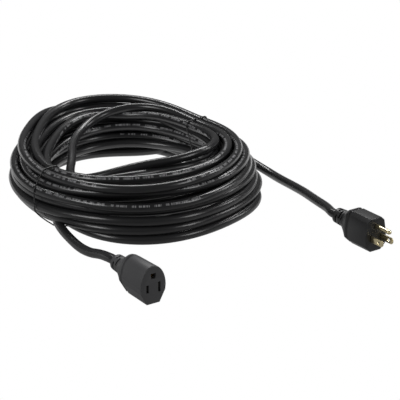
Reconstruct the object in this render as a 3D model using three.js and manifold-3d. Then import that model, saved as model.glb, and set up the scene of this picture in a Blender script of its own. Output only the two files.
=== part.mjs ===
// A coiled three-core extension cord: a 15 A grounded plug, a grounded connector and 15.24 m of
// round cord wound into an oval coil that two thin ties hold. Millimetres, +Z up. The origin is
// on the floor, under the middle of the box that the plug and the connector span together.
import * as THREE from 'three';
import { mergeVertices } from 'three/addons/utils/BufferGeometryUtils.js';
import Module from 'manifold-3d';

const wasm = await Module();
wasm.setup();

// ---- driving dimensions ----
const gap = 0.3; // clearance between any two pieces
const cordDiameter = 9.6;
const cordRadius = cordDiameter / 2;

// the grounded 15 A blade pattern that plug and connector share
const bladeSpacing = 12.7;
const groundRise = 11.9;
const bladeWidth = 6.35;
const bladeThickness = 1.52;
const bladeLength = 17.5;
const bladeHole = 3.6;
const bladeHoleFromFace = 11.9;
const groundDiameter = 4.8;
const groundLength = 21;

// the coil: an oval ring, its widths taken across X and stretched along Y
const coilHalfWidth = 139;
const coilHalfDepth = 161;
const coilThickness = 57;
const coilHeight = 62;
const coilSlope = 30; // how far the top outer edge sits inside the bottom one
const coilRound = 6;
const coilWaist = 2; // how far the outer wall leans in below its slope
const coilWaistHeight = 28;

// where the two ends lie: the bottom middle of each front face, and the way it looks
const plugPlace = { x: 245.8, y: -166.7, yaw: 55 };
const connectorPlace = { x: 30.3, y: -289.1, yaw: 56 };

// each end's moulding: its outline, its length, and the block that it is moulded around
const plug = {
  flat: 6.4,
  half: 13.2,
  height: 34.5,
  line: 14.3, // blade line above the bottom flat
  front: 28, // length of the straight front section
  rearSize: 1, // the front section's size at its back, as a share of its face
  carrierLength: 12,
  carrierBelow: bladeWidth / 2 + 1.2,
  carrierAbove: bladeWidth / 2 + 1,
  mirror: 1,
  jacketEnd: 37,
};
const connector = {
  flat: 6.8,
  half: 13.8,
  height: 37.7,
  line: 15.8,
  front: 33,
  rearSize: 0.94,
  carrierLength: 20,
  carrierBelow: bladeWidth / 2 + 2,
  carrierAbove: bladeWidth / 2 + 2.2,
  mirror: -1,
  jacketEnd: 43,
};
const cordHeight = 18.5; // the cord's axis above the bottom of either end
const neckLength = 17; // from the front section to the collar
const neckRadius = cordRadius + 4.6;
const faceWall = 4;
const faceChamfer = 0.8;
const faceSize = 0.965; // the face inside its chamfer, as a share of the outline
const grooveLength = 3; // the grip groove behind the front section
const grooveDepth = 0.08; // the same kind of share
const shoulderLength = 3.5;
const taperLength = 8.5;
const pocketRear = 9; // space for the wires behind the barrels

// strain relief: a sleeve in the moulding and a windowed collar behind it
const collarLength = 13;
const collarRadius = cordRadius + gap + 3.6;
const collarTipRadius = cordRadius + gap + 2.9;
const sleeveLength = 10;
const sleeveRadius = cordRadius + gap + 1.3;
const windowWidth = 2;
const windowLength = 8.4; // across the cord
const windowRows = [0.22, 0.6]; // where along the collar, as a share of its length
const windowsInRow = 4;
const windowFloor = 0.7; // what a window leaves of the collar's wall

// conductors
const copperRadius = 0.85;
const wireBore = copperRadius + gap;
const wireRadius = wireBore + 0.55;
const barrelRadius = wireBore + 0.75;
const barrelLength = 6;

// contacts in the connector
const slotWidth = bladeThickness + 1;
const lineSlotHeight = bladeWidth + 1.6;
const neutralSlotHeight = lineSlotHeight + 2;
const groundSlot = groundDiameter + 0.6;
const leafThickness = 0.8;
const leafGap = bladeThickness + 0.18;
const leafHeight = bladeWidth + 0.65;
const contactWidth = leafGap + 2 * leafThickness;
const contactLength = 16;
const contactInset = 0.5; // from the front of its carrier
const webWidth = 1.6;
const webHeight = 3;
const groundContactRadius = groundDiameter / 2 + 0.9;

// the block that each end is moulded around, measured from the blades' and ground's middles
const carrierSide = contactWidth / 2 + gap + 1.25;
const carrierCrown = groundContactRadius + gap + 0.6;

// ties
const tieThickness = 1.2;
const tieWidth = 2;
const ties = [
  { name: 'front_left_tie', angle: 231 },
  { name: 'rear_right_tie', angle: 41 },
];

// how far a cut runs past a face that it goes through
const through = 1;
// how far two joined shapes of one piece run into each other
const overlap = 0.3;

// ---- materials ----
const material = (color, roughness, metalness = 0) =>
  new THREE.MeshStandardMaterial({ color, roughness, metalness });
const jacketBlack = material(0x1d1d1e, 0.42);
const plugBlack = material(0x232325, 0.45);
const connectorGrey = material(0x4a4a4c, 0.6);
const brass = material(0xcfb06a, 0.3, 1);
const copper = material(0xb8694a, 0.35, 1);
const ivory = material(0xd8d2c0, 0.55);
const tieBlack = material(0x141414, 0.5);
const wireColour = {
  line: material(0x161616, 0.5),
  neutral: material(0xe6e6e2, 0.5),
  ground: material(0x1f7a3f, 0.5),
};

// ---- geometry helpers: every piece of an end is made with its front face at x = 0 ----
const alongX = new THREE.Matrix4().makeBasis(
  new THREE.Vector3(0, 1, 0),
  new THREE.Vector3(0, 0, 1),
  new THREE.Vector3(1, 0, 0),
);

function toSolid(geometry) {
  const bare = geometry.index ? geometry.clone() : geometry;
  bare.deleteAttribute('normal');
  bare.deleteAttribute('uv');
  const merged = mergeVertices(bare, 1e-4);
  return new wasm.Manifold(new wasm.Mesh({
    numProp: 3,
    vertProperties: new Float32Array(merged.attributes.position.array),
    triVerts: new Uint32Array(merged.index.array),
  }));
}

function toGeometry(solid) {
  const mesh = solid.getMesh();
  const geometry = new THREE.BufferGeometry();
  geometry.setAttribute('position', new THREE.BufferAttribute(mesh.vertProperties, 3));
  geometry.setIndex(new THREE.BufferAttribute(mesh.triVerts, 1));
  return geometry;
}

const join = (first, ...others) => others.reduce((sum, next) => sum.add(next), first);
const cut = (first, ...others) => others.reduce((rest, next) => rest.subtract(next), first);

// a flat outline of [y, z] points, pushed along x from one station to another
function prism(points, from, to) {
  const shape = new THREE.Shape(points.map(([y, z]) => new THREE.Vector2(y, z)));
  const geometry = new THREE.ExtrudeGeometry(shape, { depth: to - from, bevelEnabled: false });
  geometry.applyMatrix4(alongX);
  geometry.translate(from, 0, 0);
  return toSolid(geometry);
}

function block(from, to, y, z, width, height) {
  const geometry = new THREE.BoxGeometry(to - from, width, height);
  geometry.translate((from + to) / 2, y, z);
  return toSolid(geometry);
}

// a solid turned about the line y, z = const, from a profile of [x, radius] points that closes
function turned(profile, y, z, segments = 24) {
  const points = profile.map(([x, radius]) => new THREE.Vector2(radius, x));
  const geometry = new THREE.LatheGeometry(points, segments);
  geometry.rotateZ(-Math.PI / 2);
  geometry.translate(0, y, z);
  return toSolid(geometry);
}

const rod = (from, to, y, z, radius, segments = 16) =>
  turned([[from, 0], [from, radius], [to, radius], [to, 0]], y, z, segments);

// rings of equally many points, one behind the other, closed with a flat cap at each end
function loft(rings) {
  const count = rings[0].length;
  const positions = rings.flat().flatMap((point) => point.toArray());
  const index = [];
  for (let ring = 0; ring < rings.length - 1; ring += 1) {
    for (let i = 0; i < count; i += 1) {
      const a = ring * count + i;
      const b = ring * count + ((i + 1) % count);
      index.push(a, b, b + count, a, b + count, a + count);
    }
  }
  const caps = THREE.ShapeUtils.triangulateShape(
    rings[0].map((point) => new THREE.Vector2(point.y, point.z)),
    [],
  );
  const last = (rings.length - 1) * count;
  for (const [a, b, c] of caps) {
    index.push(a, c, b);
    index.push(last + a, last + b, last + c);
  }
  const geometry = new THREE.BufferGeometry();
  geometry.setAttribute('position', new THREE.Float32BufferAttribute(positions, 3));
  geometry.setIndex(index);
  return toSolid(geometry);
}

// a round tube along a curve, solid or with a bore
function tube(extrudePath, radius, { bore = 0, sides = 10, steps = 12 } = {}) {
  const circle = (size) => Array.from({ length: sides }, (_, i) => {
    const angle = (2 * Math.PI * i) / sides;
    return new THREE.Vector2(size * Math.cos(angle), size * Math.sin(angle));
  });
  const outline = new THREE.Shape(circle(radius));
  if (bore) outline.holes.push(new THREE.Path(circle(bore).reverse()));
  return toSolid(new THREE.ExtrudeGeometry(outline, { steps, extrudePath }));
}

const vector = (x, y, z) => new THREE.Vector3(x, y, z);

// ---- outlines of the two ends, seen from the front, as [y, z] points going anticlockwise ----
const bothSides = (rightSide) => [
  ...rightSide,
  ...rightSide.filter(([y]) => y > 0).reverse().map(([y, z]) => [-y, z]),
];

// the plug is faceted, and widest at its middle
function plugOutline({ flat, half, height }) {
  return bothSides([
    [flat, 0],
    [half * 0.94, height * 0.16],
    [half, height * 0.48],
    [half * 0.79, height * 0.9],
    [half * 0.5, height],
  ]);
}

// the connector is an arch on two slanting sides
function connectorOutline({ flat, half, height }) {
  const springing = height * 0.45;
  const arch = [];
  const archSteps = 9;
  for (let i = 0; i <= archSteps; i += 1) {
    const angle = (Math.PI / 2) * (i / archSteps);
    arch.push([half * Math.cos(angle), springing + (height - springing) * Math.sin(angle)]);
  }
  arch[archSteps][0] = 0;
  return bothSides([[flat, 0], [half * 0.96, height * 0.31], ...arch]);
}

// the block inside either end: wide at the blades, narrow at the ground
function carrierOutline({ line, carrierBelow, carrierAbove }, inset) {
  const half = bladeSpacing / 2 + carrierSide - inset;
  const crown = carrierCrown - inset;
  const shoulder = line + carrierAbove - inset / 2;
  return [
    [-half, line - carrierBelow + inset],
    [half, line - carrierBelow + inset],
    [half, shoulder],
    [crown, line + groundRise + crown],
    [-crown, line + groundRise + crown],
    [-half, shoulder],
  ];
}

// the outline drawn towards the round neck by a share, and sized about the cord's axis
function station(outline, x, highSize, lowSize, share) {
  return outline.map(([y, z]) => {
    const angle = Math.atan2(z - cordHeight, y);
    const sizedY = y * (z > cordHeight ? highSize : lowSize);
    const sizedZ = cordHeight + (z - cordHeight) * (z > cordHeight ? highSize : lowSize);
    const ringY = neckRadius * Math.cos(angle);
    const ringZ = cordHeight + neckRadius * Math.sin(angle);
    return vector(x, sizedY + (ringY - sizedY) * share, sizedZ + (ringZ - sizedZ) * share);
  });
}

// the outer form of an end: the front section, a grip groove, a shoulder and the neck
function moulding(outline, { front, rearSize }) {
  const grooveEnd = front + grooveLength;
  const shoulderEnd = grooveEnd + shoulderLength;
  const stations = [
    [-front - neckLength, 1, 1, 1],
    [-shoulderEnd - taperLength, 1, 1, 0.9],
    [-shoulderEnd - taperLength / 2, rearSize, 1, 0.52],
    [-shoulderEnd, rearSize, 1, 0.12],
    [-grooveEnd - 0.5, rearSize, 1, 0.03],
    [-grooveEnd + 0.5, rearSize - grooveDepth, 1 - grooveDepth, 0],
    [-front - 0.5, rearSize - grooveDepth, 1 - grooveDepth, 0],
    [-front, rearSize, 1, 0],
    [-faceChamfer, 1, 1, 0],
    [0, faceSize, faceSize, 0],
  ];
  return loft(stations.map(([x, high, low, share]) => station(outline, x, high, low, share)));
}

// ---- the pieces that both ends have ----
const poles = {
  line: { side: 1, rise: 0, wireAngle: -30 },
  neutral: { side: -1, rise: 0, wireAngle: 210 },
  ground: { side: 0, rise: groundRise, wireAngle: 90 },
};
const polePlace = (end, pole) => ({
  y: (end.mirror * poles[pole].side * bladeSpacing) / 2,
  z: end.line + poles[pole].rise,
});
const neckEnd = (end) => end.front + neckLength;
const collarEnd = (end) => neckEnd(end) + gap + collarLength;
const barrelFront = (end) => faceWall + gap + end.carrierLength + 1;
const barrelBack = (end) => barrelFront(end) + barrelLength;

// the moulding hollowed for the carrier, the wires and the sleeve, and open at its holes
function body(end, outline, holes) {
  const pocket = prism(carrierOutline(end, 0), -barrelBack(end) - pocketRear, -faceWall);
  const throat = rod(
    -neckEnd(end) - 1,
    -barrelBack(end) - pocketRear + 1,
    0,
    cordHeight,
    sleeveRadius + gap,
    24,
  );
  return cut(moulding(outline, end), pocket, throat, ...holes);
}

function strainRelief(end) {
  const neck = neckEnd(end);
  const bore = cordRadius + gap;
  const profile = [
    [-neck + sleeveLength, bore],
    [-neck + sleeveLength, sleeveRadius],
    [-neck - gap, sleeveRadius],
    [-neck - gap, collarRadius],
    [-neck - gap - collarLength, collarTipRadius],
    [-neck - gap - collarLength, bore],
    [-neck + sleeveLength, bore],
  ];
  const windows = [];
  for (const [row, along] of windowRows.entries()) {
    for (let i = 0; i < windowsInRow; i += 1) {
      const box = new THREE.BoxGeometry(windowWidth, windowLength, collarRadius);
      box.translate(0, 0, bore + windowFloor + collarRadius / 2);
      box.rotateX(((i + row / 2 + 0.5) * 2 * Math.PI) / windowsInRow);
      box.translate(-neck - gap - collarLength * along, 0, cordHeight);
      windows.push(toSolid(box));
    }
  }
  return cut(turned(profile.reverse(), 0, cordHeight), ...windows);
}

// one conductor: from its place among the three in the jacket to its barrel
function conductor(end, pole) {
  const { y, z } = polePlace(end, pole);
  const angle = THREE.MathUtils.degToRad(poles[pole].wireAngle);
  const spread = (wireRadius + gap / 2) / Math.cos(Math.PI / 6);
  const side = end.mirror * spread * Math.cos(angle);
  const start = vector(-end.jacketEnd + gap, side, cordHeight + spread * Math.sin(angle));
  const finish = vector(-barrelBack(end) - gap, y, z);
  const lead = (finish.x - start.x) * 0.5;
  const path = new THREE.CubicBezierCurve3(
    start,
    start.clone().add(vector(lead, 0, 0)),
    finish.clone().sub(vector(lead, 0, 0)),
    finish,
  );
  const insideBarrel = rod(finish.x - 0.2, -barrelFront(end) - 1, y, z, copperRadius, 8);
  return {
    wire: tube(path, wireRadius, { bore: wireBore, sides: 10, steps: 8 }),
    copper: join(tube(path, copperRadius, { sides: 8, steps: 8 }), insideBarrel),
  };
}

// a crimp barrel on the back of a blade or contact
function barrel(end, pole) {
  const { y, z } = polePlace(end, pole);
  const shell = rod(-barrelBack(end), -barrelFront(end), y, z, barrelRadius);
  return cut(shell, rod(-barrelBack(end) - 1, -barrelFront(end) - 0.6, y, z, wireBore));
}

// ---- the plug ----
function plugBlade(end, pole) {
  const { y, z } = polePlace(end, pole);
  const tip = 1.6;
  const half = bladeWidth / 2;
  const back = -barrelFront(end) - overlap;
  const outline = new THREE.Shape([
    new THREE.Vector2(back, -half),
    new THREE.Vector2(bladeLength - tip, -half),
    new THREE.Vector2(bladeLength, -half + tip),
    new THREE.Vector2(bladeLength, half - tip),
    new THREE.Vector2(bladeLength - tip, half),
    new THREE.Vector2(back, half),
  ]);
  const hole = new THREE.Path();
  hole.absarc(bladeHoleFromFace, 0, bladeHole / 2, 0, 2 * Math.PI, true);
  outline.holes.push(hole);
  const settings = { depth: bladeThickness, bevelEnabled: false, curveSegments: 8 };
  const geometry = new THREE.ExtrudeGeometry(outline, settings);
  geometry.rotateX(Math.PI / 2);
  geometry.translate(0, y + bladeThickness / 2, z);
  return join(toSolid(geometry), barrel(end, pole));
}

function groundPin(end) {
  const { y, z } = polePlace(end, 'ground');
  const radius = groundDiameter / 2;
  const back = -barrelFront(end) - overlap;
  const profile = [[back, 0], [back, radius]];
  const tipSteps = 4;
  for (let i = 0; i <= tipSteps; i += 1) {
    const angle = (Math.PI / 2) * (i / tipSteps);
    profile.push([
      groundLength - radius + radius * Math.sin(angle),
      i === tipSteps ? 0 : radius * Math.cos(angle),
    ]);
  }
  return join(turned(profile, y, z, 20), barrel(end, 'ground'));
}

function plugHoles(end, clearance, from, to) {
  const thickness = bladeThickness + 2 * clearance;
  const width = bladeWidth + 2 * clearance;
  const slot = (pole) => {
    const { y, z } = polePlace(end, pole);
    return block(from, to, y, z, thickness, width);
  };
  const { y, z } = polePlace(end, 'ground');
  const round = rod(from, to, y, z, groundDiameter / 2 + clearance, 20);
  return [slot('line'), slot('neutral'), round];
}

// ---- the connector ----
function connectorHoles(end, from, to) {
  const line = polePlace(end, 'line');
  const neutral = polePlace(end, 'neutral');
  const ground = polePlace(end, 'ground');
  const half = groundSlot / 2;
  const corner = groundSlot * 0.36;
  const dShape = [
    [-corner, -half],
    [corner, -half],
    [half, 0],
    [half, half],
    [-half, half],
    [-half, 0],
  ];
  return [
    block(from, to, line.y, line.z, slotWidth, lineSlotHeight),
    block(from, to, neutral.y, neutral.z, slotWidth, neutralSlotHeight),
    prism(dShape.map(([y, z]) => [ground.y + y, ground.z + z]), from, to),
  ];
}

// two leaves that grip a blade, joined at the back and carrying the barrel
function bladeContact(end, pole) {
  const { y, z } = polePlace(end, pole);
  const front = -faceWall - gap - contactInset;
  const back = front - contactLength;
  const clip = cut(
    block(back, front, y, z, contactWidth, leafHeight),
    block(back + leafThickness, front + 1, y, z, leafGap, leafHeight + 2),
  );
  const web = block(-barrelFront(end) - overlap, back + overlap, y, z, webWidth, webHeight);
  return join(clip, web, barrel(end, pole));
}

// a split tube that grips the ground pin
function groundContact(end) {
  const { y, z } = polePlace(end, 'ground');
  const front = -faceWall - gap - contactInset;
  const back = front - contactLength;
  const outer = groundContactRadius;
  const clip = cut(
    rod(back, front, y, z, outer, 20),
    rod(back + leafThickness, front + 1, y, z, outer - leafThickness, 20),
    block(back + 3, front + 1, y, z + outer, 1.2, outer),
  );
  const web = block(-barrelFront(end) - overlap, back + overlap, y, z, webWidth, webHeight);
  return join(clip, web, barrel(end, 'ground'));
}

function contactCavities(end, from, to) {
  const width = contactWidth + 2 * gap;
  const slot = (pole) => {
    const { y, z } = polePlace(end, pole);
    return block(from, to, y, z, width, leafHeight + 2 * gap);
  };
  const { y, z } = polePlace(end, 'ground');
  return [slot('line'), slot('neutral'), rod(from, to, y, z, groundContactRadius + gap, 20)];
}

// ---- the coil, its tails and its ties ----
const coilStretch = coilHalfDepth / coilHalfWidth;

// the coil's section across X, as [radius, height] points, grown on every side
function coilProfile(grow) {
  const inner = coilHalfWidth - coilThickness - grow;
  const outer = coilHalfWidth + grow;
  const base = -grow;
  const top = coilHeight + grow;
  return [
    [inner + coilRound, base],
    [outer - coilRound, base],
    [outer, base + coilRound],
    [outer - coilWaist, coilWaistHeight],
    [outer - coilSlope, top - coilRound],
    [outer - coilSlope - coilRound, top],
    [inner + coilRound, top],
    [inner, top - coilRound],
    [inner, base + coilRound],
  ];
}

function coilRing(grow) {
  const profile = coilProfile(grow).map(([radius, z]) => new THREE.Vector2(radius, z));
  profile.push(profile[0].clone());
  const geometry = new THREE.LatheGeometry(profile, 48);
  geometry.rotateX(Math.PI / 2);
  geometry.scale(1, coilStretch, 1);
  return toSolid(geometry);
}

// a flat frame around the coil's section: between two outlines, across the coil at an angle
function coilBand(angle, outside, inside, width) {
  const turn = THREE.MathUtils.degToRad(angle);
  const stretch = 1 / Math.hypot(Math.cos(turn), Math.sin(turn) / coilStretch);
  const outline = (points) => points.map(([r, z]) => new THREE.Vector2(r * stretch, z));
  const shape = new THREE.Shape(outline(outside));
  shape.holes.push(new THREE.Path(outline(inside).reverse()));
  const geometry = new THREE.ExtrudeGeometry(shape, { depth: width, bevelEnabled: false });
  geometry.translate(0, 0, -width / 2);
  geometry.rotateX(Math.PI / 2);
  geometry.rotateZ(turn);
  return toSolid(geometry);
}

function tie(angle) {
  return coilBand(angle, coilProfile(0), coilProfile(-tieThickness), tieWidth);
}

function tieGroove(angle) {
  const core = coilProfile(-tieThickness - gap);
  return coilBand(angle, coilProfile(4), core, tieWidth + 2 * gap);
}

// where a point of an end lies in the part
function onEnd({ x, y, yaw }, along) {
  const turn = THREE.MathUtils.degToRad(-yaw);
  return vector(x + along * Math.cos(turn), y + along * Math.sin(turn), cordHeight);
}

// the cord from inside an end's sleeve, straight out of its collar, then by way of the points
function tail(end, place, points, steps) {
  const route = [
    onEnd(place, -end.jacketEnd),
    onEnd(place, -collarEnd(end)),
    onEnd(place, -collarEnd(end) - cordDiameter),
    ...points.map(([x, y, z]) => vector(x, y, z)),
  ];
  const path = new THREE.CatmullRomCurve3(route, false, 'centripetal');
  return cut(tube(path, cordRadius, { sides: 12, steps }), coilRing(gap));
}

// the cord's axis where it lies on the floor
const onFloor = cordRadius + 0.2;
const plugTailPoints = [
  [203, -94.5, 17.3],
  [193.3, -68.4, 15.2],
  [182.8, -37.4, 12.1],
  [171.6, -9.2, 9],
  [160, 17, 6.4],
  [147.5, 41, 6],
  [114, 83, 13],
];
const connectorTailPoints = [
  [-22, -208, 14],
  [-34, -190, 8.5],
  [-46, -169, 5.4],
  [-59, -142, onFloor],
  [-68.5, -118, onFloor],
  [-75.5, -93, onFloor],
];

// ---- assembly ----
const meshes = [];

function add(parent, name, solid, finish) {
  const mesh = new THREE.Mesh(toGeometry(solid), finish);
  mesh.name = name;
  parent.add(mesh);
  meshes.push(mesh);
}

function addConductors(parent, prefix, end) {
  for (const pole of Object.keys(poles)) {
    const { wire, copper: strand } = conductor(end, pole);
    add(parent, `${prefix}_${pole}_wire`, wire, wireColour[pole]);
    add(parent, `${prefix}_${pole}_copper`, strand, copper);
  }
}

function placed(place) {
  const group = new THREE.Group();
  group.position.set(place.x, place.y, 0);
  group.rotation.z = THREE.MathUtils.degToRad(-place.yaw);
  return group;
}

function makePlug() {
  const end = plug;
  const group = placed(plugPlace);
  const carrierBack = -faceWall - gap - end.carrierLength;
  const carrier = cut(
    prism(carrierOutline(end, gap), carrierBack, -faceWall - gap),
    ...plugHoles(end, gap, carrierBack - through, through),
  );
  const holes = plugHoles(end, gap, -faceWall - through, through);
  add(group, 'plug_body', body(end, plugOutline(end), holes), plugBlack);
  add(group, 'plug_blade_carrier', carrier, ivory);
  add(group, 'plug_line_blade', plugBlade(end, 'line'), brass);
  add(group, 'plug_neutral_blade', plugBlade(end, 'neutral'), brass);
  add(group, 'plug_ground_pin', groundPin(end), brass);
  add(group, 'plug_strain_relief', strainRelief(end), plugBlack);
  addConductors(group, 'plug', end);
  return group;
}

function makeConnector() {
  const end = connector;
  const group = placed(connectorPlace);
  const carrierBack = -faceWall - gap - end.carrierLength;
  const carrier = cut(
    prism(carrierOutline(end, gap), carrierBack, -faceWall - gap),
    ...contactCavities(end, carrierBack - through, through),
  );
  const holes = connectorHoles(end, -faceWall - through, through);
  add(group, 'connector_body', body(end, connectorOutline(end), holes), connectorGrey);
  add(group, 'connector_contact_carrier', carrier, ivory);
  add(group, 'connector_line_contact', bladeContact(end, 'line'), brass);
  add(group, 'connector_neutral_contact', bladeContact(end, 'neutral'), brass);
  add(group, 'connector_ground_contact', groundContact(end), brass);
  add(group, 'connector_strain_relief', strainRelief(end), connectorGrey);
  addConductors(group, 'connector', end);
  return group;
}

const ends = new THREE.Group();
ends.add(makePlug(), makeConnector());

const part = new THREE.Group();
part.add(ends);
const grooves = ties.map(({ angle }) => tieGroove(angle));
add(part, 'cord_coil', cut(coilRing(0), ...grooves), jacketBlack);
add(part, 'plug_tail', tail(plug, plugPlace, plugTailPoints, 16), jacketBlack);
add(part, 'connector_tail', tail(connector, connectorPlace, connectorTailPoints, 14), jacketBlack);
for (const { name, angle } of ties) {
  add(part, name, tie(angle), tieBlack);
}

// the origin goes under the middle of the plug and the connector
ends.updateMatrixWorld(true);
const span = new THREE.Box3().setFromObject(ends, true);
part.position.set(-(span.min.x + span.max.x) / 2, -(span.min.y + span.max.y) / 2, -span.min.z);

export default part;
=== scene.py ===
"""The looks of a coiled extension cord: its wound cord, ties, moulded ends and materials.

Lengths are in millimetres until they reach Blender, which works in metres. Places on the coil
are in the coil's own frame: the origin is on the floor in the middle of the coil, +X is to the
right and +Y is away from the camera. Angles are in degrees, anticlockwise from +X.
"""

import math

import bmesh
import bpy
import numpy as np
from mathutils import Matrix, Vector


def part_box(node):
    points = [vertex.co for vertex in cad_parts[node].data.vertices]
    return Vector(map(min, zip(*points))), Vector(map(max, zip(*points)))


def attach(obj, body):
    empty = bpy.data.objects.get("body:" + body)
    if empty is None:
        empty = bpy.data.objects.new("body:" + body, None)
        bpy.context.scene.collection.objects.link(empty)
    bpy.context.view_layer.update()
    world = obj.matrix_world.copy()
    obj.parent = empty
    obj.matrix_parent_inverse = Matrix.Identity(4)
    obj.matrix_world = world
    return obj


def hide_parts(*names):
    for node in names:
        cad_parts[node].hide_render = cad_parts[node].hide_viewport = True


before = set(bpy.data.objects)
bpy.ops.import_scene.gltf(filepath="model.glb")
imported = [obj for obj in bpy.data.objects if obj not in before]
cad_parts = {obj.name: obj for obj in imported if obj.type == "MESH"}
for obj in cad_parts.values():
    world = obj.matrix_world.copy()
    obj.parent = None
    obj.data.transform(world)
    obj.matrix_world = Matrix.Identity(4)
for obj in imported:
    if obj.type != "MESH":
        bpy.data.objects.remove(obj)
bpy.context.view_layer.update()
MM = 0.001

# ---- driving dimensions ----
CORD_DIAMETER = 9.6
CORD_RADIUS = CORD_DIAMETER / 2

# the winding: where it starts and stops, and how finely it is worked out
START_ANGLE = 231
END_ANGLE = 36
FULL_TURNS = 20
STATIONS = 72  # places worked out in a turn
STATION_STEP = 360 / STATIONS
SMOOTHING = 2  # points drawn for each place worked out
ROWS = 7
LANES = 3
BOTTOM_LANES = (0, 1, 1.4)  # the lanes of the lowest row
STAGGER = 0.25  # how far every second row is moved in, as a share of a lane
STAGGER_ROW = 3  # the lowest row that is moved in so far; those below it less
FRONT_TIE_ANGLE = 231
REAR_TIE_ANGLE = 41

# the least and most of a turn that passes before the cord moves to its next place, and then
# while it moves
WAIT_SHARE = (0.08, 0.3)
MOVE_SHARE = (0.35, 0.55)

# how far the turns stray from their places, away from the ties
TIE_HOLD = 40
WOBBLE_REACH = 16
WOBBLE_ACROSS = 2.4
WOBBLE_UP = 1.2

# where the first turn keeps to the outside: the part of the cord, in turns, then the middle of
# the arc, half of it, and the arc to ease over
FIRST_OUTSIDE_TURNS = (0.5, 1.1)
FIRST_OUTSIDE = 300
FIRST_OUTSIDE_HALF = 38
FIRST_OUTSIDE_EASE = 30

# the last turn on its way down behind the coil: when it starts, how long it takes, and how far
# it then stands off, the first two as shares of a turn
DOWN_FROM = 0.22
DOWN_OVER = 0.29
STAND_OFF = 9

# how the turns are moved apart
TARGET_EASING = 4
RELAX_STEPS = 400
PUSHES = 3
PULL = 0.05
LOOSE_PULL = 0.25
LOOSE_WEIGHT = 0.15
STIFFNESS = 0.6
STIFF_REACH = 6
PUSH_SHARE = 0.45
CLEAR_OF_EACH_OTHER = 1.01
LAST_EASING = 3

# the bundle's shape around the coil: angle; radius of the outer lane at the bottom, half-way up
# and at the top; width across the lanes at the bottom and at the top; and rise from row to row
BUNDLE = [
    (0, 138, 127, 114, 26, 22, 8.6),
    (14, 132, 122, 108, 24, 20, 8.6),
    (28, 121, 114, 102, 22, 18, 8.5),
    (41, 113, 110, 101, 19, 18, 8.2),
    (61, 122, 116, 107, 24, 20, 8.6),
    (83, 138, 132, 128, 36, 22, 9.1),
    (105, 150, 150, 153, 48, 26, 9.1),
    (120, 150, 150, 157, 46, 28, 9.1),
    (135, 143, 139, 141, 40, 26, 8.8),
    (155, 132, 129, 120, 34, 26, 8.3),
    (180, 123, 126, 112, 28, 25, 7.9),
    (205, 114, 128, 114, 22, 22, 7.6),
    (228, 117, 133, 122, 20, 21, 7.3),
    (250, 136, 134, 130, 26, 28, 7.9),
    (264, 151, 146, 140, 32, 48, 8.3),
    (280, 157, 152, 146, 42, 70, 8.6),
    (297, 150, 147, 138, 42, 66, 8.6),
    (310, 142, 140, 133, 38, 56, 8.6),
    (323, 140, 136, 127, 32, 43, 8.7),
    (340, 141, 132, 121, 28, 31, 8.7),
]

# strands that leave their places in the bundle: angle, radius, height. One lies on the floor,
# clear of the others at the back; one crosses the opening
FOOT_TURN = 2
FOOT = [
    (215, 98, 5),
    (155, 108, 5),
    (126, 113, 5),
    (112, 111, 5),
    (100, 107, 5),
    (88, 105, 5),
    (75, 102, 5),
    (60, 98, 5),
]
STRAY_TURN = 18
STRAY = [
    (330, 80, 56),
    (307, 77, 57),
    (291, 72, 56),
    (278, 70, 53),
    (266, 69, 49.5),
    (254, 71, 45),
    (243, 75, 40),
    (232, 78, 35.5),
    (216, 76, 31.5),
    (198, 68, 31.5),
    (178, 64, 35),
    (155, 73, 38),
    (131, 92, 43),
    (108, 112, 52),
    (90, 113, 58),
    (71, 101, 60),
    (46, 91, 56),
    (20, 92, 56),
]
LEAVING = 26  # the arc over which such a strand leaves its place

# where the two tails meet the coil: radius, height
START_PLACE = (120, CORD_RADIUS + 0.2)
END_PLACE = (141.3, 13)
COME_IN_STATIONS = 2  # how soon the cord then gets to its own place

# the two ends: the bottom middle of each front face, the way it looks, and where its cord starts
PLUG = {"x": 245.8, "y": -166.7, "yaw": 55, "jacket_end": 37, "collar_end": 58.3}
CONNECTOR = {"x": 30.3, "y": -289.1, "yaw": 56, "jacket_end": 43, "collar_end": 63.3}
CORD_HEIGHT = 18.5

# the cord between each end and the coil
ON_FLOOR = CORD_RADIUS + 0.2
PLUG_TAIL = [
    (203, -94.5, 17.3),
    (193.3, -68.4, 15.2),
    (182.8, -37.4, 12.1),
    (171.6, -9.2, 9),
    (160, 17, 6.4),
    (147.5, 41, 6),
]
CONNECTOR_TAIL = [
    (-22, -208, 14),
    (-34, -190, 8.5),
    (-46, -169, 5.4),
    (-59, -142, ON_FLOOR),
    (-68.5, -118, ON_FLOOR),
]

# where the print shows: angle, the turns that show it there, and how far round it is turned.
# Angles fall along a turn, so its front right is at -40 and its end at -129
HIDDEN = -180
FRONT_SHOWN = (9, 14, 15, 19, 20)
BACK_SHOWN = (6, 11, 12, 17)
PRINT_ARCS = [
    (225, FRONT_SHOWN, 48),
    (125, BACK_SHOWN, -40),
    (55, BACK_SHOWN, -40),
    (-40, [turn - 1 for turn in FRONT_SHOWN], 48),
    (-125, [turn - 1 for turn in FRONT_SHOWN], 48),
]
PRINT_EASING = 60

# the ties: thin straps, the front one a little loose below
TIE_RADIUS = 0.7
TIE_POINTS = 72
SLACK_SIDE = math.radians(-80)
ASKEW_BELOW = 18  # the height under which a tie runs askew

rng = np.random.default_rng(11)

coil_low, coil_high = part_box("cord_coil")
COIL_CENTRE = (Vector(coil_low) + Vector(coil_high)) / 2
COIL_ORIGIN = Vector((COIL_CENTRE.x, COIL_CENTRE.y, 0))


def in_part(points):
    """Points in the coil's frame, in millimetres, as an array in the part's frame, in metres."""
    return np.asarray(points, float) * MM + np.array(COIL_ORIGIN)


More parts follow.
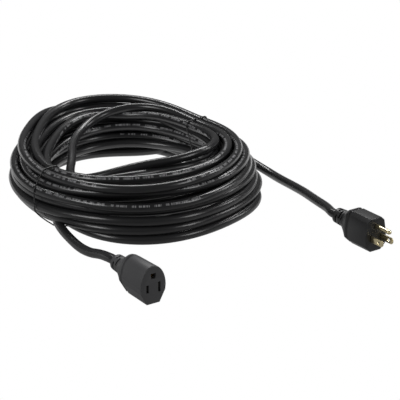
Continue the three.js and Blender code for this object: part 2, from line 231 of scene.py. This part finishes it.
# ---- the winding ----
def around(table, column):
    """A column of a table by angle, as a smooth periodic function of the angle."""
    angles = np.array([row[0] for row in table], float)
    values = np.array([row[column] for row in table], float)
    wide = np.concatenate([angles - 360, angles, angles + 360])
    many = np.tile(values, 3)
    fine = np.arange(-180, 540, 2.0)
    drawn = np.interp(fine, wide, many)
    reach = 8
    kernel = np.hanning(2 * reach + 1)
    drawn = np.convolve(np.pad(drawn, reach, mode="edge"), kernel / kernel.sum(), "valid")
    return lambda angle: np.interp(np.mod(angle, 360), fine, drawn)


def slots_in_order():
    """The places in the bundle's section in the order that the cord fills them: up row by row,
    across from side to side. A place is a row and a lane, counted from the outside."""
    order = [(0, lane) for lane in BOTTOM_LANES]
    for row in range(1, ROWS):
        lanes = range(LANES) if row % 2 else reversed(range(LANES))
        order += [(row, lane) for lane in lanes]
    return order


def smooth(x):
    """An even change from 0 to 1, which starts and stops gently."""
    x = np.clip(x, 0, 1)
    return x * x * (3 - 2 * x)


def wobble(count, reach, size):
    """Smooth noise along the cord."""
    noise = rng.standard_normal(count + 4 * reach)
    kernel = np.hanning(2 * reach + 1)
    line = np.convolve(noise, kernel / np.sqrt((kernel**2).sum()), "same")
    return size * line[2 * reach : 2 * reach + count]


def angle_gap(angle, middle):
    """How many degrees lie between an angle and another, the shorter way round."""
    return np.abs(np.mod(angle - middle + 180, 360) - 180)


def winding():
    """Where the cord lies in the coil: the angle, radius and height of each point."""
    sweep = 360 * FULL_TURNS + START_ANGLE - END_ANGLE
    count = int(round(sweep / STATION_STEP)) + 1
    index = np.arange(count)
    angle = START_ANGLE - index * STATION_STEP
    turn = index // STATIONS
    done = index / STATIONS - turn

    order = slots_in_order()
    row = np.zeros(count)
    lane = np.zeros(count)
    for k in range(FULL_TURNS + 1):
        here = turn == k
        first = order[k]
        second = order[min(k + 1, len(order) - 1)]
        wait = rng.uniform(*WAIT_SHARE)
        share = smooth((done[here] - wait) / rng.uniform(*MOVE_SHARE))
        row[here] = first[0] + (second[0] - first[0]) * share
        lane[here] = first[1] + (second[1] - first[1]) * share

    outer_low, outer_middle, outer_high, width_low, width_high, rise = (
        around(BUNDLE, column)(angle) for column in range(1, 7)
    )
    # the first turn keeps to the outside at the front
    since, until = FIRST_OUTSIDE_TURNS
    first_front = (index > since * STATIONS) & (index < until * STATIONS)
    past = angle_gap(angle[first_front], FIRST_OUTSIDE) - FIRST_OUTSIDE_HALF
    lane[first_front] *= smooth(past / FIRST_OUTSIDE_EASE)

    height_share = row / (ROWS - 1)
    belly = outer_middle - (outer_low + outer_high) / 2
    outer = outer_low + (outer_high - outer_low) * height_share
    outer += 4 * belly * height_share * (1 - height_share)
    pitch = (width_low + (width_high - width_low) * height_share) / (LANES - 1)
    stagger = STAGGER * smooth(row / STAGGER_ROW) * (1 - np.cos(np.pi * row)) / 2
    from_tie = np.minimum(angle_gap(angle, FRONT_TIE_ANGLE), angle_gap(angle, REAR_TIE_ANGLE))
    free = smooth(from_tie / TIE_HOLD)
    radius = outer - (lane + stagger) * pitch + free * wobble(count, WOBBLE_REACH, WOBBLE_ACROSS)
    height = CORD_RADIUS + row * rise + free * wobble(count, WOBBLE_REACH, WOBBLE_UP)

    loose = np.zeros(count, bool)
    for own_turn, table in ((FOOT_TURN, FOOT), (STRAY_TURN, STRAY)):
        own_angle, own_radius, own_height = smoothed(np.array(table, float)[::-1], 8).T
        on_turn = angle + 360 * own_turn
        here = (on_turn > own_angle[0]) & (on_turn < own_angle[-1])
        from_end = np.minimum(on_turn - own_angle[0], own_angle[-1] - on_turn)
        share = smooth(from_end[here] / LEAVING)
        for place, own in ((radius, own_radius), (height, own_height)):
            place[here] += share * (np.interp(on_turn[here], own_angle, own) - place[here])
        loose |= here

    # the first part comes in from the connector's tail, outside the others
    come_in = np.exp(-index / COME_IN_STATIONS)
    radius += come_in * (START_PLACE[0] - radius[0])

    # the last part goes down behind the coil to where the plug's tail leaves it
    last = turn == FULL_TURNS
    down = smooth((done[last] - DOWN_FROM) / DOWN_OVER)
    beside = np.maximum(outer_low[last] + STAND_OFF, END_PLACE[0])
    radius[last] += down * (beside - radius[last])
    height[last] += down * (END_PLACE[1] - height[last])

    place = relax(np.stack([eased(radius, TARGET_EASING), eased(height, TARGET_EASING)], 1), loose)
    return angle, place[:, 0], place[:, 1]


def eased(values, times):
    """The values along the cord, with each drawn towards its neighbours so many times."""
    values = values.copy()
    for _ in range(times):
        values[1:-1] = (values[:-2] + 2 * values[1:-1] + values[2:]) / 4
    return values


def relax(target, loose):
    """Moves the turns apart, near to the places that they were given. The loose stretches keep
    closest to theirs, and the others make way for them."""
    count = len(target)
    turns = count // STATIONS + 1
    padded = turns * STATIONS
    place = target.copy()
    pull = np.where(loose, LOOSE_PULL, PULL)[:, None]
    weight = np.where(loose, LOOSE_WEIGHT, 1.0)[:, None]
    present = np.arange(padded).reshape(turns, STATIONS) < count
    both = present[:, None, :] & present[None, :, :]
    both &= ~np.eye(turns, dtype=bool)[:, :, None]
    for _ in range(RELAX_STEPS):
        place += pull * (target - place)
        drift = place - target
        place += STIFFNESS * (eased(drift, STIFF_REACH) - drift)
        for _ in range(PUSHES):
            grid = np.full((padded, 2), 1e6)
            grid[:count] = place
            grid = grid.reshape(turns, STATIONS, 2)
            offset = grid[:, None] - grid[None, :]
            distance = np.linalg.norm(offset, axis=3)
            short = np.clip(CORD_DIAMETER * CLEAR_OF_EACH_OTHER - distance, 0, None)
            short = np.where(both, short, 0)[..., None]
            push = (offset / np.maximum(distance, 1e-6)[..., None]) * short * PUSH_SHARE
            place += push.sum(axis=1).reshape(padded, 2)[:count] * weight
            place[:, 1] = np.maximum(place[:, 1], ON_FLOOR)
        place[0] = START_PLACE
        place[-1] = END_PLACE
    return eased(place, LAST_EASING)


def smoothed(points, many):
    """A smooth line through the points, with so many parts from each to the next."""
    padded = np.concatenate([2 * points[:1] - points[1:2], points, 2 * points[-1:] - points[-2:-1]])
    a, b, c, d = padded[:-3], padded[1:-2], padded[2:-1], padded[3:]
    parts = []
    for i in range(many):
        t = i / many
        parts.append(
            0.5
            * (
                2 * b
                + (c - a) * t
                + (2 * a - 5 * b + 4 * c - d) * t**2
                + (3 * b - a - 3 * c + d) * t**3
            )
        )
    line = np.stack(parts, 1).reshape(-1, 3)
    return np.concatenate([line, points[-1:]])


def on_end(place, along):
    """A point on an end's axis, so far in front of its face."""
    turn = math.radians(-place["yaw"])
    return (
        place["x"] + along * math.cos(turn),
        place["y"] + along * math.sin(turn),
        CORD_HEIGHT,
    )


def tail(place, points):
    """The cord from inside an end's sleeve, straight out of its collar, then along the points."""
    return [
        on_end(place, -place["jacket_end"]),
        on_end(place, -place["collar_end"]),
        on_end(place, -place["collar_end"] - CORD_DIAMETER),
        *points,
    ]


def evenly(points, spacing):
    """The same line with its points that far apart."""
    far = np.concatenate([[0], np.cumsum(np.linalg.norm(np.diff(points, axis=0), axis=1))])
    wanted = np.linspace(0, far[-1], int(round(far[-1] / spacing)) + 1)
    return np.stack([np.interp(wanted, far, points[:, i]) for i in range(3)], 1)


angle, radius, height = winding()
turned = np.radians(angle)
coil = np.stack([radius * np.cos(turned), radius * np.sin(turned), height], 1)
lead_in = evenly(smoothed(np.array(tail(CONNECTOR, CONNECTOR_TAIL) + [tuple(coil[0])]), 12), 10)
lead_out = evenly(smoothed(np.array(tail(PLUG, PLUG_TAIL) + [tuple(coil[-1])]), 12), 10)[::-1]
route = smoothed(np.concatenate([lead_in[:-1], coil, lead_out[1:]]), SMOOTHING)


# ---- materials ----
# the print: its sizes along the cord are in metres, and those across it are shares of the way
# round
JACKET_BLACK = (0.02, 0.02, 0.021)
PRINT_GREY = (0.45, 0.45, 0.46)
LETTER = 0.0011
LETTERS_ABOVE = 0.47
WORD = 0.007
WORDS_ABOVE = 0.45
LEGEND_REPEAT = 0.61
LEGEND_SHARE = 0.85
PRINT_PLACE = 0.25
CUT_END_PLACE = 0.75  # what the cut ends show: the side without print
PRINT_HALF_HEIGHT = 0.036
PRINT_STRENGTH = 0.6


def material(name, base, roughness, metallic=0.0):
    """A plain material."""
    made = bpy.data.materials.new(name)
    made.use_nodes = True
    shader = made.node_tree.nodes["Principled BSDF"]
    shader.inputs["Base Color"].default_value = (*base, 1)
    shader.inputs["Roughness"].default_value = roughness
    shader.inputs["Metallic"].default_value = metallic
    return made


def math_node(nodes, links, operation, first, second=None):
    """A math node on sockets or numbers, and what comes out of it."""
    node = nodes.new("ShaderNodeMath")
    node.operation = operation
    for place, value in enumerate((first, second)):
        if isinstance(value, (int, float)):
            node.inputs[place].default_value = value
        elif value is not None:
            links.new(value, node.inputs[place])
    return node.outputs[0]


def line_noise(nodes, links, along, size):
    """Noise that changes along one line, once in each size."""
    node = nodes.new("ShaderNodeTexNoise")
    node.noise_dimensions = "1D"
    node.inputs["Scale"].default_value = 1 / size
    node.inputs["Detail"].default_value = 1
    links.new(along, node.inputs["W"])
    return node.outputs["Fac"]


def printed_jacket():
    """Black PVC with a row of light marks along it, like print that is too small to read."""
    made = material("jacket", JACKET_BLACK, 0.25)
    nodes = made.node_tree.nodes
    links = made.node_tree.links
    shader = nodes["Principled BSDF"]
    uv = nodes.new("ShaderNodeUVMap")
    uv.uv_map = "along"
    parts = nodes.new("ShaderNodeSeparateXYZ")
    links.new(uv.outputs[0], parts.inputs[0])
    along, across = parts.outputs[0], parts.outputs[1]

    def worked(operation, first, second=None):
        return math_node(nodes, links, operation, first, second)

    letters = worked("GREATER_THAN", line_noise(nodes, links, along, LETTER), LETTERS_ABOVE)
    words = worked("GREATER_THAN", line_noise(nodes, links, along, WORD), WORDS_ABOVE)
    repeats = worked("FRACT", worked("DIVIDE", along, LEGEND_REPEAT))
    legend = worked("LESS_THAN", repeats, LEGEND_SHARE)
    off_middle = worked("ABSOLUTE", worked("SUBTRACT", across, PRINT_PLACE))
    row = worked("LESS_THAN", off_middle, PRINT_HALF_HEIGHT)
    mask = worked("MULTIPLY", letters, words)
    for part in (legend, row, PRINT_STRENGTH):
        mask = worked("MULTIPLY", mask, part)

    mix = nodes.new("ShaderNodeMix")
    mix.data_type = "RGBA"
    links.new(mask, mix.inputs["Factor"])
    mix.inputs["A"].default_value = (*JACKET_BLACK, 1)
    mix.inputs["B"].default_value = (*PRINT_GREY, 1)
    links.new(mix.outputs["Result"], shader.inputs["Base Color"])
    return made


jacket = printed_jacket()
plug_pvc = material("plug_pvc", (0.022, 0.022, 0.023), 0.36)
connector_pvc = material("connector_pvc", (0.07, 0.07, 0.073), 0.5)
brass = material("brass", (0.92, 0.8, 0.5), 0.24, 1.0)
tie_black = material("tie_black", (0.012, 0.012, 0.012), 0.4)
nylon = material("nylon", (0.6, 0.56, 0.47), 0.5)
copper = material("copper", (0.75, 0.4, 0.26), 0.3, 1.0)
wire_finish = {
    "line": material("wire_line", (0.02, 0.02, 0.02), 0.45),
    "neutral": material("wire_neutral", (0.75, 0.75, 0.73), 0.45),
    "ground": material("wire_ground", (0.03, 0.28, 0.09), 0.45),
}


def finish_of(name):
    """The material of a CAD node that stays as it is."""
    if name.endswith("_copper"):
        return copper
    if name.endswith("_wire"):
        return wire_finish[name.split("_")[1]]
    if name.endswith("_carrier"):
        return nylon
    return brass


# ---- the two ends ----
# how they are rounded: the angles, in degrees, under which faces are one flat face, and over
# which an edge is rounded
FLAT_ANGLE = 1.5
EDGE_ANGLE = 18
EDGE_SEGMENTS = 3


def rounded(name, width, made, slot):
    """A copy of a CAD piece with its edges rounded, which stands for it."""
    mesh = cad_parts[name].data.copy()
    work = bmesh.new()
    work.from_mesh(mesh)
    bmesh.ops.remove_doubles(work, verts=work.verts, dist=1e-6)
    flat = math.radians(FLAT_ANGLE)
    bmesh.ops.dissolve_limit(work, angle_limit=flat, verts=work.verts, edges=work.edges)
    work.to_mesh(mesh)
    work.free()
    mesh.materials.clear()
    mesh.materials.append(made)
    obj = bpy.data.objects.new(name + "_rounded", mesh)
    bpy.context.scene.collection.objects.link(obj)
    for face in mesh.polygons:
        face.use_smooth = True
    bevel = obj.modifiers.new("round", "BEVEL")
    bevel.width = width * MM
    bevel.segments = EDGE_SEGMENTS
    bevel.limit_method = "ANGLE"
    bevel.angle_limit = math.radians(EDGE_ANGLE)
    bevel.harden_normals = True
    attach(obj, "root")
    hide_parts(name)
    return obj


# the CAD pieces that are shown rounded: how far, their material and their slot
ROUNDED = {
    "plug_body": (1.1, plug_pvc, "plug_pvc"),
    "plug_strain_relief": (0.4, plug_pvc, "plug_pvc"),
    "plug_line_blade": (0.25, brass, "blade_brass"),
    "plug_neutral_blade": (0.25, brass, "blade_brass"),
    "connector_body": (1.0, connector_pvc, "connector_pvc"),
    "connector_strain_relief": (0.4, connector_pvc, "connector_pvc"),
}
for name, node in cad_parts.items():
    if name.startswith("cord") or name.endswith(("_tail", "_tie")):
        continue
    if name in ROUNDED:
        shown = rounded(name, *ROUNDED[name])
    else:
        shown = node
        node.data.materials.clear()
        node.data.materials.append(finish_of(name))


# ---- the cord and its ties ----
def add_mesh(name, vertices, faces, made):
    """A smooth-shaded object from points and faces."""
    mesh = bpy.data.meshes.new(name)
    mesh.from_pydata([tuple(v) for v in vertices], [], faces)
    mesh.materials.append(made)
    for face in mesh.polygons:
        face.use_smooth = True
    obj = bpy.data.objects.new(name, mesh)
    bpy.context.scene.collection.objects.link(obj)
    return obj


def tube(name, line, radius, made, sides=14, closed=False, twist=None):
    """A round tube along a line of points in metres, turned about it by twist at each point."""
    count = len(line)
    if closed:
        along = np.roll(line, -1, axis=0) - np.roll(line, 1, axis=0)
    else:
        along = np.gradient(line, axis=0)
    along /= np.linalg.norm(along, axis=1)[:, None]
    side = np.cross(along, (0, 0, 1))
    side /= np.linalg.norm(side, axis=1)[:, None]
    up = np.cross(side, along)
    turn = np.linspace(0, 2 * np.pi, sides, endpoint=False)[None, :]
    if twist is not None:
        turn = turn + twist[:, None]
    turn = np.broadcast_to(turn, (count, sides))
    ring = np.cos(turn)[..., None] * side[:, None] + np.sin(turn)[..., None] * up[:, None]
    vertices = (line[:, None] + radius * ring).reshape(-1, 3)
    far = np.concatenate([[0], np.cumsum(np.linalg.norm(np.diff(line, axis=0), axis=1))])
    faces = []
    texture = []
    last = count if closed else count - 1
    for i in range(last):
        for j in range(sides):
            a = i * sides + j
            b = i * sides + (j + 1) % sides
            c = ((i + 1) % count) * sides + (j + 1) % sides
            d = ((i + 1) % count) * sides + j
            faces.append((a, d, c, b))
            here, there = far[i], far[min(i + 1, count - 1)]
            low, high = j / sides, (j + 1) / sides
            texture += [(here, low), (there, low), (there, high), (here, high)]
    if not closed:
        faces.append(tuple(range(sides)))
        faces.append(tuple((count - 1) * sides + j for j in reversed(range(sides))))
        for end in (far[0], far[-1]):
            texture += [(end, CUT_END_PLACE)] * sides
    obj = add_mesh(name, vertices, faces, made)
    layer = obj.data.uv_layers.new(name="along")
    layer.data.foreach_set("uv", np.array(texture, float).ravel())
    return obj


def tie(name, station, left_out, askew, slack):
    """A thin strap around the strands that pass one station, but for the one of one turn. It
    runs askew under them."""
    strands = np.stack([radius[station::STATIONS], height[station::STATIONS]], 1)
    strands = np.delete(strands, left_out, axis=0)
    reach = CORD_RADIUS + TIE_RADIUS
    loop = []
    for turn in np.linspace(0, 2 * np.pi, TIE_POINTS, endpoint=False):
        way = np.array([math.cos(turn), math.sin(turn)])
        outermost = strands[np.argmax(strands @ way)]
        loosened = slack * max(0, math.cos(turn - SLACK_SIDE)) ** 2
        loop.append(outermost + (reach + loosened) * way)
    loop = np.array(loop)
    for _ in range(2):
        loop = (np.roll(loop, 1, axis=0) + 2 * loop + np.roll(loop, -1, axis=0)) / 4
    loop[:, 1] = np.maximum(loop[:, 1], TIE_RADIUS)
    bearing = math.radians(angle[station])
    outward = np.array([math.cos(bearing), math.sin(bearing), 0])
    onward = np.array([-math.sin(bearing), math.cos(bearing), 0])
    under = np.clip(1 - loop[:, 1] / ASKEW_BELOW, 0, 1)
    shear = askew * under * (loop[:, 0].max() - loop[:, 0])
    points = loop[:, :1] * outward + shear[:, None] * onward + loop[:, 1:] * np.array([0, 0, 1])
    made = tube(name + "_strap", in_part(points), TIE_RADIUS * MM, tie_black, sides=8, closed=True)
    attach(made, "root")
    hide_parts(name)
    return made


def print_turn():
    """How far the cord is turned about itself along the route, so that its print shows on some
    strands. At 0 the print is on top, and at 90 it is on the side that faces out of the coil."""
    places = [0]
    turns = [HIDDEN]
    first = len(lead_in) - 1
    for own_turn in range(FULL_TURNS + 1):
        for at, shown, facing in PRINT_ARCS:
            place = first + (START_ANGLE - at + 360 * own_turn) / STATION_STEP
            places.append(place * SMOOTHING)
            turns.append(facing if own_turn in shown else HIDDEN)
    places.append(len(route))
    turns.append(HIDDEN)
    drawn = np.interp(np.arange(len(route)), places, turns)
    return np.radians(eased(drawn, PRINT_EASING))


line = in_part(route)
twist = print_turn()
cord = tube("cord", line, CORD_RADIUS * MM, jacket, twist=twist)
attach(cord, "root")
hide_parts("cord_coil", "plug_tail", "connector_tail")
rear_station = round((START_ANGLE - REAR_TIE_ANGLE) / STATION_STEP)
ties = [
    tie("front_left_tie", station=1, left_out=STRAY_TURN, askew=1.4, slack=4),
    tie("rear_right_tie", station=rear_station, left_out=FULL_TURNS, askew=0, slack=0.5),
]


# ---- camera, floor and light ----
VIEW_TARGET = (72.7, -29.8, 0)  # in the coil's frame
FLOOR_SIZE = 6

# what the floor gives off in front of the coil and behind it, between these two places
FLOOR_GLOW_FRONT = 0.25
FLOOR_GLOW_BACK = 1.3
GLOW_FROM_Y = -200
GLOW_TO_Y = 300
WORLD_GLOW = 0.12

# the softboxes, which face the coil: name, place, width, depth, power; in metres and watts
LIT_PLACE = (0, 0, 20)
SOFTBOXES = [
    ("back_strip", (0.1, 1.75, 1.95), 2.6, 0.26, 42),
    ("left_box", (-1.9, -0.9, 1.1), 0.8, 1.0, 17),
    ("right_box", (1.9, -0.8, 1.1), 0.6, 0.9, 12),
    ("right_strip", (2.0, 0.8, 1.0), 0.25, 0.9, 7),
]


def camera(target, distance, elevation, width_angle):
    """The camera, in front of the target and above it."""
    data = bpy.data.cameras.new("camera")
    data.angle = math.radians(width_angle)
    obj = bpy.data.objects.new("camera", data)
    tilt = math.radians(elevation)
    away = Vector((0, -math.cos(tilt), math.sin(tilt))) * distance
    obj.location = Vector(target) + away
    obj.rotation_euler = (math.radians(90) - tilt, 0, 0)
    bpy.context.scene.collection.objects.link(obj)
    bpy.context.scene.camera = obj


def white_floor():
    """A floor that shows as plain white, and lights the cord from below, more at the back."""
    bpy.ops.mesh.primitive_plane_add(size=FLOOR_SIZE)
    floor = bpy.context.object
    floor.name = "floor"
    made = bpy.data.materials.new("floor_white")
    made.use_nodes = True
    nodes = made.node_tree.nodes
    links = made.node_tree.links
    nodes.clear()
    seen = nodes.new("ShaderNodeEmission")
    bounce = nodes.new("ShaderNodeEmission")
    rays = nodes.new("ShaderNodeLightPath")
    place = nodes.new("ShaderNodeTexCoord")
    parts = nodes.new("ShaderNodeSeparateXYZ")
    links.new(place.outputs["Object"], parts.inputs[0])
    glow = nodes.new("ShaderNodeMapRange")
    glow.inputs["From Min"].default_value = in_part((0, GLOW_FROM_Y, 0))[1]
    glow.inputs["From Max"].default_value = in_part((0, GLOW_TO_Y, 0))[1]
    glow.inputs["To Min"].default_value = FLOOR_GLOW_FRONT
    glow.inputs["To Max"].default_value = FLOOR_GLOW_BACK
    links.new(parts.outputs["Y"], glow.inputs["Value"])
    links.new(glow.outputs[0], bounce.inputs["Strength"])
    mix = nodes.new("ShaderNodeMixShader")
    out = nodes.new("ShaderNodeOutputMaterial")
    links.new(rays.outputs["Is Camera Ray"], mix.inputs[0])
    links.new(bounce.outputs[0], mix.inputs[1])
    links.new(seen.outputs[0], mix.inputs[2])
    links.new(mix.outputs[0], out.inputs["Surface"])
    floor.data.materials.append(made)


def softbox(name, place, aim, width, depth, power):
    """A rectangular light that faces its aim."""
    data = bpy.data.lights.new(name, "AREA")
    data.shape = "RECTANGLE"
    data.size = width
    data.size_y = depth
    data.energy = power
    obj = bpy.data.objects.new(name, data)
    obj.location = Vector(place)
    obj.rotation_euler = (Vector(aim) - Vector(place)).to_track_quat("-Z", "Y").to_euler()
    bpy.context.scene.collection.objects.link(obj)


camera(in_part(VIEW_TARGET), distance=1.7, elevation=21.5, width_angle=14.3)
white_floor()
for name, place, width, depth, power in SOFTBOXES:
    softbox(name, place, in_part(LIT_PLACE), width, depth, power)

world = bpy.data.worlds.new("world")
bpy.context.scene.world = world
world.use_nodes = True
world.node_tree.nodes["Background"].inputs["Color"].default_value = (1, 1, 1, 1)
world.node_tree.nodes["Background"].inputs["Strength"].default_value = WORLD_GLOW
bpy.context.scene.view_settings.view_transform = "Standard"
